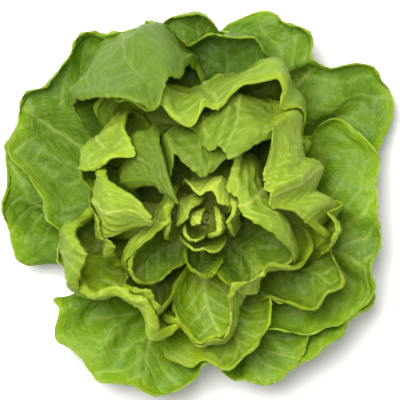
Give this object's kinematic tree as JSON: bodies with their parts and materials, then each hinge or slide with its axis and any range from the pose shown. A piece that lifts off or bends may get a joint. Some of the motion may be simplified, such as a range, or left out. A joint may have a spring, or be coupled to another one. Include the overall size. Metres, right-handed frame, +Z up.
{
  "type": "head of butterhead lettuce",
  "caption": "Loose round head of butterhead lettuce with a short cut stem, spread outer leaves and hooded inner leaves folding over the heart.",
  "frame": {"origin": "middle of the stem's flat cut face, on the surface the head rests on", "axes": "+Z up through the heart, out of the stem; the tall hooding leaves stand on the +Y side and the heart leans to -Y"},
  "size_m": [0.2802, 0.276, 0.1157],
  "materials": {
    "stem": "moist cream cut face, pale green ribbed sides",
    "heart_leaf": "tender pale yellow-green leaf with a soft waxy sheen",
    "inner_leaf": "light green puckered leaf, paler matt back, pale rib and edge",
    "outer_leaf": "mid green puckered leaf, paler matt back, pale rib and veins"
  },
  "bodies": {
    "root": {"heart_leaf_1": "heart_leaf", "heart_leaf_2": "heart_leaf", "heart_leaf_3": "heart_leaf", "heart_leaf_4": "heart_leaf", "heart_leaf_5": "heart_leaf", "heart_leaf_6": "heart_leaf", "heart_leaf_7": "heart_leaf", "heart_leaf_8": "heart_leaf", "inner_leaf_1": "inner_leaf", "inner_leaf_2": "inner_leaf", "inner_leaf_3": "inner_leaf", "inner_leaf_4": "inner_leaf", "inner_leaf_5": "inner_leaf", "inner_leaf_6": "inner_leaf", "inner_leaf_7": "inner_leaf", "inner_leaf_8": "inner_leaf", "inner_leaf_9": "inner_leaf", "inner_leaf_10": "inner_leaf", "inner_leaf_11": "inner_leaf", "inner_leaf_12": "inner_leaf", "inner_leaf_13": "inner_leaf", "inner_leaf_14": "inner_leaf", "inner_leaf_15": "inner_leaf", "inner_leaf_16": "inner_leaf", "inner_leaf_17": "inner_leaf", "inner_leaf_18": "inner_leaf", "inner_leaf_19": "inner_leaf", "inner_leaf_20": "inner_leaf", "inner_leaf_21": "inner_leaf", "outer_leaf_1": "outer_leaf", "outer_leaf_2": "outer_leaf", "outer_leaf_3": "outer_leaf", "outer_leaf_4": "outer_leaf", "outer_leaf_5": "outer_leaf", "outer_leaf_6": "outer_leaf", "outer_leaf_7": "outer_leaf", "outer_leaf_8": "outer_leaf", "outer_leaf_9": "outer_leaf", "outer_leaf_10": "outer_leaf", "outer_leaf_11": "outer_leaf", "stem": "stem"}
  },
  "joints": []
}
